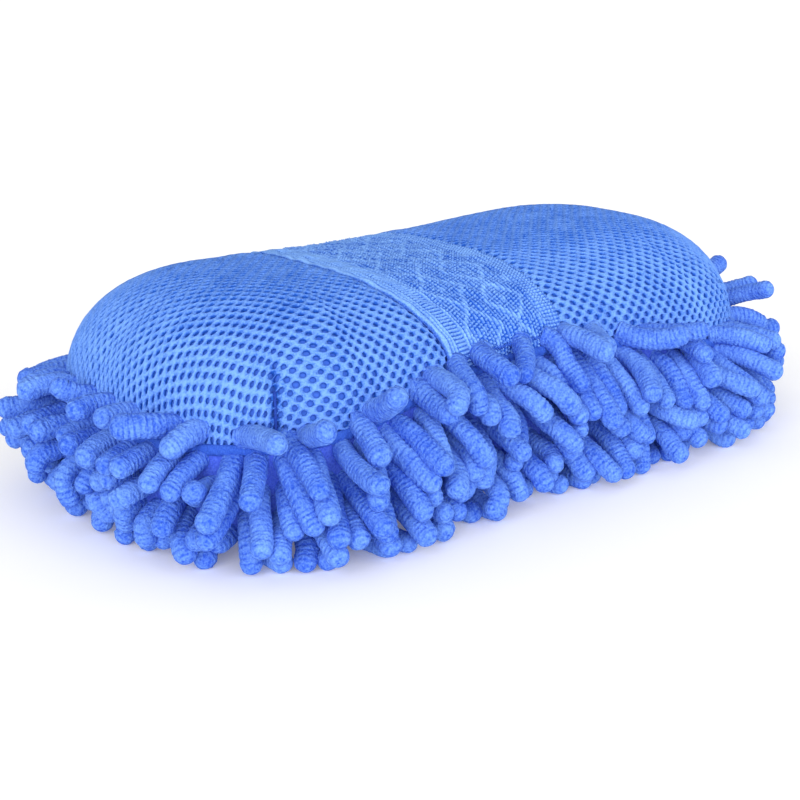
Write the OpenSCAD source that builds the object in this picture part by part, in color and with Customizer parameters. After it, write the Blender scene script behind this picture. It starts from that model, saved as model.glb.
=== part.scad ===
// Car wash mitt: a foam pad in a stretched air-mesh cover, with an elastic hand strap
// across its middle and chenille pile round its sides and under it.
// +X runs along the pad, +Z is up, and the origin is on the ground under the pad's centre.

/* [Pad] */
// Length of the pad from seam to seam
pad_l = 220; // [190:1:250]
// Width of the pad from seam to seam, at its widest
pad_w = 110; // [104:1:120]
// Radius of the pad's corners, seen from above
corner_r = 49; // [44:1:50]
// Height of the seam above the ground
seam_z = 30; // [26:0.5:34]
// Height of the pad's top above the seam, near its ends
crown_h = 32.5; // [28:0.5:40]
// Extra height of the top along its middle line
crown_bulge = 3.5; // [0:0.5:6]
// How far the cover's shoulder runs in from the seam
shoulder_r = 44; // [36:1:46]
// Squareness of the shoulder, where 2 is an ellipse
shoulder_power = 2.5; // [2:0.1:3]
// Drop of the top at the two ends
end_drop = 6; // [0:0.5:10]

/* [Waist] */
// Offset of the waist from the pad's middle, towards -X
waist_off = 6; // [0:1:10]
// How far the strap pulls the top down
waist_dip = 3; // [0:0.5:6]
// How much the strap narrows the pad, as a share of its width
waist_in = 0.07; // [0:0.01:0.1]
// How far the strap lifts the seam
waist_lift = 11; // [0:0.5:12]
// Half the length of pad that the strap pulls in
waist_reach = 56; // [40:1:60]

/* [Cloth] */
// Thickness of the air mesh and of the ground cloth
cloth_t = 1.6; // [1:0.1:2.5]
// Radius of the ground cloth's lower edge
lower_r = 9; // [6:0.5:10]
// Height of the overlocked hem
hem_h = 3; // [2:0.1:4]
// How far the hem stands out from the wall
hem_out = 1; // [0.6:0.1:1.5]
// Length of a corner dart, measured up the cover
dart_rise = 17; // [10:1:24]
// Angle of a dart round its corner, from the long side
dart_turn = 33.75; // [22.5:11.25:45]

/* [Strap] */
// Distance of the strap's straight edge from the pad's middle, towards +X
strap_right = 8.5; // [4:0.5:12]
// Distance of its other edge from the pad's middle at the seam, towards -X
strap_left = 34.5; // [28:0.5:36]
// How much further that edge bows out over the top
strap_flare = 9.5; // [0:0.5:18]
// Thickness of the elastic hand strap
strap_t = 1.8; // [1.2:0.1:2.5]
// Height above the seam where the strap's ends meet its span
leg_h = 10; // [8:1:14]

/* [Pile] */
// Diameter of one chenille noodle
noodle_d = 5.8; // [5:0.1:7]
// Spacing of the noodles along the wall
noodle_pitch = 10; // [9.6:0.1:12]
// Reach of the pile beyond the wall
pile_reach = 15; // [13:0.5:20]
// Slope of the upper noodles below the horizontal
droop = 45; // [40:1:50]
// Slope of the middle noodles below the horizontal
middle_droop = 58; // [50:1:64]

/* [Hidden] */

half_l = pad_l / 2;
half_w = pad_w / 2;
noodle_r = noodle_d / 2;
// Gap left between pieces of different bodies, and between soft neighbours
gap = 0.3;
// How far a noodle on the ground is pressed flat
flat_press = 0.25;
// Height of the ground cloth's underside
floor_z = 2 * noodle_r - flat_press + gap;
// Smallest plan radius left on an inset outline
tightest_r = 2;
corner_steps = 8;
side_steps = 12;
shoulder_steps = 7;
top_steps = 2;

cover_blue = [0.34, 0.56, 0.92];
strap_blue = [0.37, 0.58, 0.91];
pile_blue = [0.31, 0.48, 0.87];
cloth_blue = [0.28, 0.38, 0.80];
foam_blue = [0.45, 0.60, 0.85];

// ---- Plan outline ----

// One corner of the outline inset by d, centred on the corner's own centre
function corner(quadrant, d) =
    let (r = max(corner_r - d, tightest_r))
    let (cx = half_l - d - r)
    let (cy = max(half_w - d - r, 0))
    let (sx = (quadrant == 0 || quadrant == 3) ? 1 : -1)
    let (sy = (quadrant < 2) ? 1 : -1)
    [for (i = [0 : corner_steps])
        let (a = quadrant * 90 + i * 90 / corner_steps)
        [sx * cx + r * cos(a), sy * cy + r * sin(a)]];

// Points strictly between two plan points
function between(p, q, steps) = [for (i = [1 : steps - 1]) p + (q - p) * i / steps];

// The whole outline, anticlockwise from the +X end, so that point i mirrors point n - 1 - i
function outline(d) =
    let (c0 = corner(0, d))
    let (c1 = corner(1, d))
    let (c2 = corner(2, d))
    let (c3 = corner(3, d))
    let (last = corner_steps)
    concat(
        c0, between(c0[last], c1[0], side_steps),
        c1, c2, between(c2[last], c3[0], side_steps), c3
    );

// How strongly the strap pulls on the pad at x, from 1 at the waist to 0 at the ends
pull_power = 2.5;
function pull(x) = exp(-pow(abs(x + waist_off) / waist_reach, pull_power));
function waisted(p) = [p.x, p.y * (1 - waist_in * pull(p.x))];
function seam_at(x) = seam_z + waist_lift * pull(x);
// Share of the pad's half length that stays level before the top falls away
level_share = 0.3;
// Height of the pad's top at a plan point
function top_at(x, y) =
    let (past = max(abs(x) / half_l - level_share, 0))
    seam_z + crown_h + crown_bulge * (1 - pow(y / half_w, 2))
    - waist_dip * pull(x) - end_drop * pow(past, 2);

// ---- Lofted skins ----

// A closed solid through a stack of rings that all follow the outline
module skin(rings) {
    n = len(rings[0]);
    m = len(rings);
    walls = [for (k = [0 : m - 2]) for (i = [0 : n - 1])
        let (j = (i + 1) % n)
        let (low = k * n)
        let (high = low + n)
        each [[low + i, high + j, low + j], [low + i, high + i, high + j]]];
    polyhedron(
        points = [for (ring = rings) each ring],
        faces = concat(walls, zip_shut(n, 0, false), zip_shut(n, (m - 1) * n, true))
    );
}

// Triangles that zip a ring shut between its +Y and -Y halves
function zip_shut(n, start, up) =
    [for (j = [0 : n / 2 - 2])
        let (a = start + j)
        let (b = a + 1)
        let (d = start + n - 1 - j)
        let (c = d - 1)
        for (t = [[a, b, c], [a, c, d]])
            up ? [t[0], t[2], t[1]] : t];

// A closed slab between two grids of points of the same size
module slab(outer, inner) {
    rows = len(outer);
    n = len(outer[0]);
    back = rows * n;
    grid = [for (k = [0 : rows - 2]) for (i = [0 : n - 2])
        let (a = k * n + i)
        each [[a, a + n, a + n + 1], [a, a + n + 1, a + 1]]];
    rim = concat(
        [for (i = [0 : n - 1]) i],
        [for (k = [1 : rows - 1]) k * n + n - 1],
        [for (i = [n - 2 : -1 : 0]) (rows - 1) * n + i],
        [for (k = [rows - 2 : -1 : 1]) k * n]
    );
    edge = [for (i = [0 : len(rim) - 1])
        let (p = rim[i])
        let (q = rim[(i + 1) % len(rim)])
        each [[p, q, q + back], [p, q + back, p + back]]];
    polyhedron(
        points = concat([for (row = outer) each row], [for (row = inner) each row]),
        faces = concat(grid, [for (f = grid) [f[0] + back, f[2] + back, f[1] + back]], edge)
    );
}

// ---- Pad ----

// Shoulder profile: share of the shoulder's run and rise at angle a from the seam
function run(a) = 1 - pow(cos(a), 2 / shoulder_power);
function rise(a) = pow(sin(a), 2 / shoulder_power);

// A ring of the cover, inset by d and raised by a share of the crown, with the skin set in by t
function cover_ring(d, share, t) =
    [for (p = outline(d + t))
        let (w = waisted(p))
        let (z0 = seam_at(w.x))
        [w.x, w.y, z0 + share * (top_at(w.x, p.y) - t - z0)]];

// A level ring at height z, or at a height above the seam when it follows the seam
function level_ring(d, z) = [for (p = outline(d)) let (w = waisted(p)) [w.x, w.y, z]];
function seam_ring(d, up) =
    [for (p = outline(d)) let (w = waisted(p)) [w.x, w.y, seam_at(w.x) + up]];

// Half the width of the innermost ring
spine_half = 5;

function dome_rings(t) = concat(
    [for (k = [1 : shoulder_steps])
        let (a = 90 * k / shoulder_steps)
        cover_ring(shoulder_r * run(a), rise(a), t)],
    [for (k = [1 : top_steps])
        cover_ring(shoulder_r + (half_w - shoulder_r - spine_half) * k / top_steps, 1, t)]
);

// The lower edge turns in through a quarter round
function tray_rings(t) = [for (k = [0 : 3])
    let (a = 30 * k)
    level_ring(t + (lower_r - t) * (1 - sin(a)), floor_z + t + (lower_r - t) * (1 - cos(a)))];

module sponge_core() {
    color(foam_blue)
    skin(concat(tray_rings(cloth_t + gap), [seam_ring(cloth_t + gap, 0)], dome_rings(cloth_t + gap)));
}

module mesh_cover() {
    edge_up = hem_h / 2 + gap / 2;
    color(cover_blue)
    difference() {
        skin(concat([seam_ring(0, edge_up)], dome_rings(0)));
        skin(concat([seam_ring(cloth_t, edge_up - 1)], dome_rings(cloth_t)));
    }
}

module base_cloth() {
    edge_up = -hem_h / 2 - gap / 2;
    color(cloth_blue)
    difference() {
        skin(concat(tray_rings(0), [seam_ring(0, edge_up)]));
        skin(concat(tray_rings(cloth_t), [seam_ring(cloth_t, edge_up + 1)]));
    }
}

module hem_seam() {
    color(cloth_blue)
    difference() {
        skin([
            seam_ring(0, -hem_h / 2),
            seam_ring(-hem_out, -hem_h / 4),
            seam_ring(-hem_out, hem_h / 4),
            seam_ring(0, hem_h / 2)
        ]);
        skin([seam_ring(cloth_t, -hem_h), seam_ring(cloth_t, hem_h)]);
    }
}

// The way a dart faces, in plan
function dart_way(sx, sy) = [sx * sin(dart_turn), sy * cos(dart_turn), 0];

// A point of the cover above a dart's foot, at angle a of the shoulder
function dart_pt(sx, sy, a) =
    let (r = (corner_r - shoulder_r * run(a)) * dart_way(sx, sy))
    let (w = waisted([sx * (half_l - corner_r) + r.x, sy * (half_w - corner_r) + r.y]))
    let (z0 = seam_at(w.x))
    [w.x, w.y, z0 + rise(a) * (top_at(w.x, w.y) - z0)];

// The stitched dart: a low ridge that climbs a corner of the cover
module dart(sx, sy) {
    dart_steps = 5;
    half_thread = 0.8;
    ridge = 0.9;
    angles = [for (k = [0 : dart_steps])
        asin(pow((hem_h + (dart_rise - hem_h) * k / dart_steps) / crown_h, shoulder_power / 2))];
    probe = 1;
    side = [sx * sy * cos(dart_turn), -sin(dart_turn), 0] * half_thread;
    function lifted(a, off) =
        let (v = dart_pt(sx, sy, a + probe) - dart_pt(sx, sy, a - probe))
        let (out = dart_way(sx, sy))
        let (along = v * out)
        let (n = out * v.z - [0, 0, along])
        dart_pt(sx, sy, a) + n / norm(n) * off;
    function grid(off) = [for (a = angles)
        [lifted(a, off) - side, lifted(a, off), lifted(a, off) + side]];
    color(cloth_blue)
    if (sy < 0) slab(grid(gap + ridge), grid(gap));
    else slab(grid(gap), grid(gap + ridge));
}

// ---- Strap ----

// Share of the strap's half path that lies on the flat of the top
flat_share = 0.2;
flare_power = 2.2;

// Along the strap, s runs from -1 at the front seam to 1 at the back seam
function on_flat(s) = abs(s) < flat_share;
function strap_a(s) = 90 * (1 - abs(s)) / (1 - flat_share);
// Distance from the pad's long middle line
function strap_y(s) =
    on_flat(s) ? (half_w - shoulder_r) * abs(s) / flat_share : half_w - shoulder_r * run(strap_a(s));

// A point of the cover under the strap
function cover_pt(x, s) =
    let (y = strap_y(s))
    let (w = waisted([x, y * sign(s)]))
    let (z0 = seam_at(x))
    [x, w.y, z0 + (on_flat(s) ? 1 : rise(strap_a(s))) * (top_at(x, y) - z0)];

// The same point moved off the cover along its normal in the strap's own plane
function off_cover(x, s, off) =
    let (step = 0.01)
    let (v = cover_pt(x, min(s + step, 1)) - cover_pt(x, max(s - step, -1)))
    let (n = [0, -v.z, v.y])
    cover_pt(x, s) + n / norm(n) * off;

// A patch of webbing over the cover, from s0 to s1, between two offsets
module webbing(s0, s1, off0, off1, steps) {
    across = 6;
    function grid(off) = [for (k = [0 : steps])
        let (s = s0 + (s1 - s0) * k / steps)
        let (bow = strap_flare * (1 - pow(strap_y(s) / half_w, flare_power)))
        let (left = -strap_left - bow)
        [for (i = [0 : across]) off_cover(left + (strap_right - left) * i / across, s, off)]];
    slab(grid(off1), grid(off0));
}

// Rise of the cover under the strap, from the seam to the top
strap_rise = crown_h - waist_dip - waist_lift;
function s_at(height) =
    1 - (1 - flat_share) / 90 * asin(pow(height / strap_rise, shoulder_power / 2));

seam_s = s_at(hem_h / 2 + gap);
leg_s = s_at(leg_h);
// The tack's stitches cross the strap's end, a little above the hem
tack_start = 1.5;
tack_h = 2;
tack_gap = 0.1;
tack_t = 0.8;
tack_low_s = s_at(hem_h / 2 + tack_start);
tack_high_s = s_at(hem_h / 2 + tack_start + tack_h);
tack_off = gap + strap_t + tack_gap;
// The span and the legs part by a hair
split_s = 0.004;

module strap_span() {
    color(strap_blue)
    webbing(-leg_s + split_s, leg_s - split_s, gap, gap + strap_t, 22);
}

module strap_leg_front() {
    color(strap_blue)
    webbing(-seam_s, -leg_s, gap, gap + strap_t, 6);
}

module strap_leg_back() {
    color(strap_blue)
    webbing(leg_s, seam_s, gap, gap + strap_t, 6);
}

module tack_front() {
    color(cloth_blue)
    webbing(-tack_low_s, -tack_high_s, tack_off, tack_off + tack_t, 2);
}

module tack_back() {
    color(cloth_blue)
    webbing(tack_high_s, tack_low_s, tack_off, tack_off + tack_t, 2);
}

// ---- Pile ----

// One noodle: a round-ended rod from its root along +X
module noodle(length) {
    $fn = 24;
    straight = length - noodle_d;
    rotate([0, 90, 0]) cylinder(r = noodle_r, h = straight);
    sphere(r = noodle_r);
    translate([straight, 0, 0]) sphere(r = noodle_r);
}

// The same noodle lying on the ground, pressed flat below
module laid_noodle(length) {
    difference() {
        translate([0, 0, noodle_r - flat_press]) noodle(length);
        translate([-noodle_d, -noodle_d, -noodle_d])
        cube([length + noodle_d, 2 * noodle_d, noodle_d]);
    }
}

// Sides are named by the way they face: front is -Y and right is +X
function facing(side) =
    side == "front" ? -90 : side == "back" ? 90 : side == "left" ? 180 : 0;
function is_long(side) = side == "front" || side == "back";
function straight_half(side) = (is_long(side) ? half_l : half_w) - corner_r;
function wall_away(side) = is_long(side) ? half_w : half_l;
// Place along X of a point at q on a long side
function x_at(side, q) = side == "back" ? -q : q;
// A side takes in half of the corner at each of its ends
function side_half(side) = straight_half(side) + corner_r * PI / 4;

// Puts children on the wall at q along a side, with +X pointing out of the wall
module on_wall(side, q) {
    over = max(abs(q) - straight_half(side), 0);
    drawn_in = is_long(side) ? half_w * waist_in * pull(x_at(side, q)) : 0;
    rotate(facing(side))
    translate([wall_away(side) - corner_r - drawn_in, sign(q) * min(abs(q), straight_half(side)), 0])
    rotate(sign(q) * over / corner_r * 180 / PI)
    translate([corner_r, 0, 0])
    children();
}

// Places along a side; the middle tier is staggered by half a pitch
function places(side, stagger) =
    let (n = round(2 * side_half(side) / noodle_pitch))
    let (pitch = 2 * side_half(side) / n)
    [for (i = [0 : n - 1]) (i + (stagger ? 0 : 0.5)) * pitch - side_half(side)];

function lift_at(side, q) = is_long(side) ? seam_at(x_at(side, q)) - seam_z : 0;
upper_root_z = seam_z - hem_h / 2 - noodle_r - gap;
tier_drop = 8;
upper_len = (pile_reach - noodle_d - gap) / cos(droop) + noodle_d;

module hanging_pile(side, tier, slope, length, stagger) {
    for (q = places(side, stagger))
        on_wall(side, q)
        translate([noodle_r + gap, 0, upper_root_z - tier * tier_drop + lift_at(side, q)])
        rotate([0, slope, 0])
        noodle(length);
}

module upper_pile(side) {
    color(pile_blue) hanging_pile(side, 0, droop, upper_len, false);
}

module middle_pile(side) {
    middle_len = (upper_root_z - tier_drop - noodle_r) / sin(middle_droop) + noodle_d;
    color(pile_blue) hanging_pile(side, 1, middle_droop, middle_len, true);
}

// The lowest tier lies on the ground and sticks out from under the pad
lower_inset = 13;
lower_out = 5;

module lower_pile(side) {
    color(pile_blue)
    for (q = places(side, false))
        on_wall(side, q)
        translate([-lower_inset, 0, 0])
        laid_noodle(lower_inset + lower_out + noodle_d);
}

// Rows under the pad, inside the lowest tier
under_inset = lower_inset + noodle_d + gap;
under_pitch = 8;
row_gap = 0.4;

// How far the rows reach to +Y at x
function under_edge(x) =
    let (r = corner_r - under_inset)
    let (over = max(abs(x) - (half_l - corner_r), 0))
    over >= r ? 0 : half_w - corner_r + sqrt(r * r - over * over);

module under_pile(row) {
    row_w = 2 * (half_w - under_inset) / 3;
    low = (row - 0.5) * row_w + row_gap / 2;
    high = (row + 0.5) * row_w - row_gap / 2;
    count = floor((half_l - under_inset) / under_pitch);
    shortest = 1.5 * noodle_d;
    color(pile_blue)
    for (i = [-count : count]) {
        x = i * under_pitch;
        y0 = max(low, -under_edge(x));
        y1 = min(high, under_edge(x));
        if (y1 - y0 > shortest)
            translate([x, y0 + noodle_r, 0]) rotate(90) laid_noodle(y1 - y0);
    }
}

sponge_core();
mesh_cover();
base_cloth();
hem_seam();
dart(-1, -1);  // dart_front_left
dart(1, -1);  // dart_front_right
dart(-1, 1);  // dart_back_left
dart(1, 1);  // dart_back_right
strap_span();
strap_leg_front();
strap_leg_back();
tack_front();
tack_back();
upper_pile("front");  // upper_pile_front
upper_pile("back");  // upper_pile_back
upper_pile("left");  // upper_pile_left
upper_pile("right");  // upper_pile_right
middle_pile("front");  // middle_pile_front
middle_pile("back");  // middle_pile_back
middle_pile("left");  // middle_pile_left
middle_pile("right");  // middle_pile_right
lower_pile("front");  // lower_pile_front
lower_pile("back");  // lower_pile_back
lower_pile("left");  // lower_pile_left
lower_pile("right");  // lower_pile_right
under_pile(-1);  // under_pile_front
under_pile(0);  // under_pile_middle
under_pile(1);  // under_pile_back
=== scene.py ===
"""Looks for a car wash mitt: a foam pad under a perforated air-mesh cover, an elastic hand strap
over its waist, and chenille noodles sewn round its sides and under it."""

import itertools
import math

import bpy
import numpy as np
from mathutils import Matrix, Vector


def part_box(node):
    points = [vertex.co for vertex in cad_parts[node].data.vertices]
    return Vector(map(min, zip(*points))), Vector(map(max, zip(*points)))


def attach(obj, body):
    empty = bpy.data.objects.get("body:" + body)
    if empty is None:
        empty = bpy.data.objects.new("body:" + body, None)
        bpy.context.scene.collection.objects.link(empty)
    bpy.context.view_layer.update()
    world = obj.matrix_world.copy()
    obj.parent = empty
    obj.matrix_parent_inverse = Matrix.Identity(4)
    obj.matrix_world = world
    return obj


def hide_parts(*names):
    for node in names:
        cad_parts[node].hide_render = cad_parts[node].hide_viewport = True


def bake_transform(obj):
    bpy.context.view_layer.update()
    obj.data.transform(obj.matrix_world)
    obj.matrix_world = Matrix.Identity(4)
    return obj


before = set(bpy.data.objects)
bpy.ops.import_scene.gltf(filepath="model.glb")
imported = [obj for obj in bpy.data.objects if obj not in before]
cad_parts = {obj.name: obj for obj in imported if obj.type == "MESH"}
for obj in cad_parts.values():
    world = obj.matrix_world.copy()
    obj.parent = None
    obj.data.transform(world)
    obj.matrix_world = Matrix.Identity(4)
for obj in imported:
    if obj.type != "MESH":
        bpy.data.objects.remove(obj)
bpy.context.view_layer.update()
rng = np.random.default_rng(11)

MM = 0.001

# ---- The pad's shape, as in the CAD part ----

HALF_L, HALF_W, CORNER_R = 110 * MM, 55 * MM, 49 * MM
SEAM_Z, CROWN_H, CROWN_BULGE = 30 * MM, 32.5 * MM, 3.5 * MM
SHOULDER_R, SHOULDER_POWER = 44 * MM, 2.5
END_DROP, LEVEL_SHARE = 6 * MM, 0.3
WAIST_DIP, WAIST_IN, WAIST_LIFT, WAIST_REACH = 3 * MM, 0.07, 11 * MM, 56 * MM
WAIST_OFF, PULL_POWER = 6 * MM, 2.5
STRAP_RIGHT, STRAP_LEFT, STRAP_FLARE, FLARE_POWER = 8.5 * MM, 34.5 * MM, 9.5 * MM, 2.2
CORE_X, CORE_Y = HALF_L - CORNER_R, HALF_W - CORNER_R
LOWER_R = 9 * MM
HEM_H, HEM_OUT = 3 * MM, 1 * MM
DART_RISE, DART_TURN = 17 * MM, 33.75
FLOOR_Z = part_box("base_cloth")[0].z

# A quarter of the way round the seam, from the middle of a long side: half that side, a corner
# and half an end. Then all the way round, and the darts' place in each quarter.
CORNER_ARC = CORNER_R * math.pi / 2
QUARTER = CORE_X + CORNER_ARC + CORE_Y
ROUND = 4 * QUARTER
DART_AT = CORE_X + CORNER_R * math.radians(DART_TURN)

# ---- How the air mesh is laid on it ----

# Shares by which the mesh is drawn out down the two ends and along the long sides
END_STRETCH, SIDE_STRETCH = 0.22, 0.24
# Where the drawing out along a side ends and the gathering past it begins, and over what lengths,
# as places on the flat cut's edge
DRAWN_TO, DRAWN_FADE = 22 * MM, 26 * MM
GATHER_FROM, GATHER_FADE = 72 * MM, 16 * MM
# Cloth length over which the gathering grows to its full share, from the core to the seam
GATHER_GROWS = 56 * MM
# Cloth length past which the ends are drawn out, and how gently
STRETCH_FROM, STRETCH_EASE = 18 * MM, 60 * MM
# A crown height that stands for them all in the flat cut's size
MEAN_CROWN = 33 * MM
STRAP_BED = 1.5 * MM


def pull(x):
    """How strongly the strap pulls on the pad at x, from 1 at the strap to 0 at the ends."""
    return np.exp(-((np.abs(x + WAIST_OFF) / WAIST_REACH) ** PULL_POWER))


def waisted(y, x):
    return y * (1 - WAIST_IN * pull(x))


def seam_at(x):
    return SEAM_Z + WAIST_LIFT * pull(x)


def top_at(x, y):
    past = np.maximum(np.abs(x) / HALF_L - LEVEL_SHARE, 0)
    bulge = CROWN_BULGE * (1 - (y / HALF_W) ** 2)
    return SEAM_Z + CROWN_H + bulge - WAIST_DIP * pull(x) - END_DROP * past**2


def shoulder(a):
    """Plan distance from the core and share of the crown's height, at angle a above the seam."""
    out = CORNER_R - SHOULDER_R * (1 - np.cos(a) ** (2 / SHOULDER_POWER))
    return out, np.sin(a) ** (2 / SHOULDER_POWER)


def smooth(t):
    t = np.clip(t, 0, 1)
    return t * t * (3 - 2 * t)


# Cloth length from the edge of the flat top down to the seam, for a range of crown heights
FLAT_R = CORNER_R - SHOULDER_R
ANGLES = np.linspace(math.pi / 2, 0, 361)
CROWNS = np.linspace(14 * MM, 38 * MM, 13)


def cloth_lengths():
    out, share = shoulder(ANGLES)
    steps = [np.hypot(np.diff(out), np.diff(share * crown)) for crown in CROWNS]
    return np.array([np.concatenate([[0], np.cumsum(s)]) for s in steps])


LENGTHS = cloth_lengths()
FLAT_SEAM_R = FLAT_R + np.interp(MEAN_CROWN, CROWNS, LENGTHS[:, -1])


def angle_at(length, crown):
    """Shoulder angle at a cloth length past the flat top, and the length left down to the seam."""
    level = np.clip((crown - CROWNS[0]) / (CROWNS[1] - CROWNS[0]), 0, len(CROWNS) - 1.001)
    low = level.astype(int)
    part = level - low
    found = np.array([np.interp(length, row, ANGLES) for row in LENGTHS])
    pick = np.arange(len(length))
    a = found[low, pick] * (1 - part) + found[low + 1, pick] * part
    whole = LENGTHS[low, -1] * (1 - part) + LENGTHS[low + 1, -1] * part
    return np.where(length < whole, a, 0.0), whole - length


def past_dart(t):
    """0 on the long side of the dart and 1 past it, towards the end."""
    return smooth((t - DART_AT + 4 * MM) / (14 * MM))


def round_the_seam(t):
    """Core point and outward angle at t along a quarter of the seam, from a long side's middle."""
    cx = np.clip(t, 0, CORE_X)
    turn = np.clip((t - CORE_X) / CORNER_R, 0, math.pi / 2)
    cy = CORE_Y - np.clip(t - CORE_X - CORNER_ARC, 0, CORE_Y)
    return cx, cy, turn


FLAT_CORNER = FLAT_SEAM_R * math.pi / 2
FLAT_PLACES = np.linspace(0, CORE_X + FLAT_CORNER + CORE_Y, 600)


def seam_places():
    """Where places along the flat cut's edge land on the seam: drawn out along the side, laid
    plain up to the dart, and gathered past it."""
    step = FLAT_PLACES[1]
    drawn = SIDE_STRETCH * (1 - smooth((FLAT_PLACES[:-1] - DRAWN_TO) / DRAWN_FADE))
    past = smooth((FLAT_PLACES[:-1] - GATHER_FROM) / GATHER_FADE)
    spare = np.sum(1 + drawn) * step - QUARTER
    gather = spare / (np.sum(past) * step)
    return np.concatenate([[0], np.cumsum(1 + drawn - gather * past) * step])


SEAM_PLACES = seam_places()


def gathered(t_flat, share):
    """The place along the seam that the flat cut is moved to, for a share of the way there."""
    flat = np.where(t_flat > CORE_X, CORE_X + (t_flat - CORE_X) * FLAT_SEAM_R / CORNER_R, t_flat)
    past = t_flat - CORE_X - CORNER_ARC
    flat = np.where(past > 0, CORE_X + FLAT_CORNER + past, flat)
    return t_flat + share * (np.interp(flat, FLAT_PLACES, SEAM_PLACES) - t_flat)


def laid(u, v):
    """Where a point of the air mesh's flat cut goes on the pad: the nearest core point, the
    outward angle from it, the cloth length out from it, and the place along the quarter seam."""
    au, av = np.abs(u), np.abs(v)
    cx, cy = np.minimum(au, CORE_X), np.minimum(av, CORE_Y)
    ex, ey = au - cx, av - cy
    out = np.hypot(ex, ey)
    t = cx + CORNER_R * np.arctan2(ex, np.maximum(ey, 1e-12))
    t = np.where(ex <= 0, cx, np.where(ey <= 0, QUARTER - cy, t))
    t = gathered(t, smooth(out / GATHER_GROWS))
    cx, cy, turn = round_the_seam(np.where(out > 0, t, cx))
    cy = np.where(out > 0, cy, av)
    stretch = END_STRETCH * past_dart(t)
    out = out + stretch * np.maximum(out - STRETCH_FROM, 0) ** 2 / STRETCH_EASE
    return cx, cy, turn, out, t


def surface(cx, cy, turn, out, sx, sy):
    """Points of the cover at a cloth length out from a core point, and the length left down to
    the seam. Past the seam the cloth goes straight down."""
    reach = np.minimum(out, CORNER_R) * 0.85
    for _ in range(2):
        x = sx * (cx + np.sin(turn) * reach)
        y = sy * (cy + np.cos(turn) * reach)
        a, left = angle_at(np.maximum(out - FLAT_R, 0), top_at(x, y) - seam_at(x))
        reach, share = shoulder(a)
        reach = np.where(out < FLAT_R, out, reach)
        share = np.where(out < FLAT_R, 1.0, share)
    x = sx * (cx + np.sin(turn) * reach)
    y = sy * (cy + np.cos(turn) * reach)
    z = seam_at(x) + share * (top_at(x, y) - seam_at(x)) + np.minimum(left, 0)
    return np.stack([x, waisted(y, x), z], 1), left


def cover_at(u, v):
    """Points of the flat cut laid over the pad, their seam places and the length left."""
    cx, cy, turn, out, t = laid(u, v)
    points, left = surface(cx, cy, turn, out, np.sign(u), np.sign(v))
    return points, t, left


def unit(v):
    return v / np.maximum(np.linalg.norm(v, axis=-1, keepdims=True), 1e-12)


def normals_of(u, v, step=0.08 * MM):
    return unit(np.cross(
        cover_at(u + step, v)[0] - cover_at(u - step, v)[0],
        cover_at(u, v + step)[0] - cover_at(u, v - step)[0],
    ))


def inside_strap(points):
    """How far a point is inside the strap's nearer edge."""
    bow = STRAP_FLARE * (1 - np.minimum(np.abs(points[:, 1]) / HALF_W, 1) ** FLARE_POWER)
    return np.minimum(points[:, 0] + STRAP_LEFT + bow, STRAP_RIGHT - points[:, 0])


def bump(x, middle, width):
    """A bell that is 1 at the middle."""
    return np.exp(-(((x - middle) / width) ** 2))


def creased(t, left):
    """Strength of the dart's crease, which runs on a little past its stitches."""
    return bump(t, DART_AT, 1.1 * MM) * (1 - smooth((left - DART_RISE - 1 * MM) / (6 * MM)))


def pressed(points, t, left):
    """Height of the cover's own folds: the dart's crease and its two lips, gathers by the hem,
    the strap's bed, and a swell on each side of that."""
    up = np.maximum(left, 0)
    lips = bump(np.abs(t - DART_AT), 3 * MM, 1.8 * MM)
    lips *= 1 - smooth((up - DART_RISE * 0.7) / (8 * MM))
    gathers = np.sin(t / (1.25 * MM)) + 0.6 * np.sin(t / (0.83 * MM) + 1.3)
    loose = 0.25 + 0.75 * smooth((t - DART_AT) / (8 * MM))
    folds = gathers * loose * (1 - smooth(up / (13 * MM)))
    within = inside_strap(points)
    bed = smooth((within + 1.5 * MM) / (3 * MM))
    swell = bump(within, -5 * MM, 3.5 * MM)
    height = -2.0 * creased(t, left) + 0.5 * lips + 0.16 * folds + 0.3 * swell
    return height * MM - STRAP_BED * bed


# ---- Mesh and material helpers ----


def add_mesh(name, points, faces, material, body, slot, **attributes):
    """A smooth-shaded mesh piece that rides on a CAD body, if one is given. Faces are an array of
    triangles or of quads, and each attribute holds a number for each point."""
    mesh = bpy.data.meshes.new(name)
    corners = faces.shape[1]
    mesh.vertices.add(len(points))
    mesh.vertices.foreach_set("co", np.asarray(points, np.float32).ravel())
    mesh.loops.add(faces.size)
    mesh.loops.foreach_set("vertex_index", faces.ravel().astype(np.int32))
    mesh.polygons.add(len(faces))
    mesh.polygons.foreach_set("loop_start", np.arange(0, faces.size, corners, dtype=np.int32))
    mesh.polygons.foreach_set("use_smooth", np.full(len(faces), True))
    for key, values in attributes.items():
        made = mesh.attributes.new(key, "FLOAT", "POINT")
        made.data.foreach_set("value", np.asarray(values, np.float32))
    mesh.update(calc_edges=True)
    mesh.validate()
    mesh.materials.append(material)
    piece = bpy.data.objects.new(name, mesh)
    bpy.context.scene.collection.objects.link(piece)
    if body:
        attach(piece, body)
    return piece


def grid_faces(rows, columns, closed=False, start=0):
    """Quads between the rows of a grid of points; closed joins the last column to the first."""
    r, c = np.meshgrid(np.arange(rows - 1), np.arange(columns if closed else columns - 1))
    a = start + r.ravel() * columns + c.ravel()
    b = start + r.ravel() * columns + (c.ravel() + 1) % columns
    return np.stack([a, b, b + columns, a + columns], 1)


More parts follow.
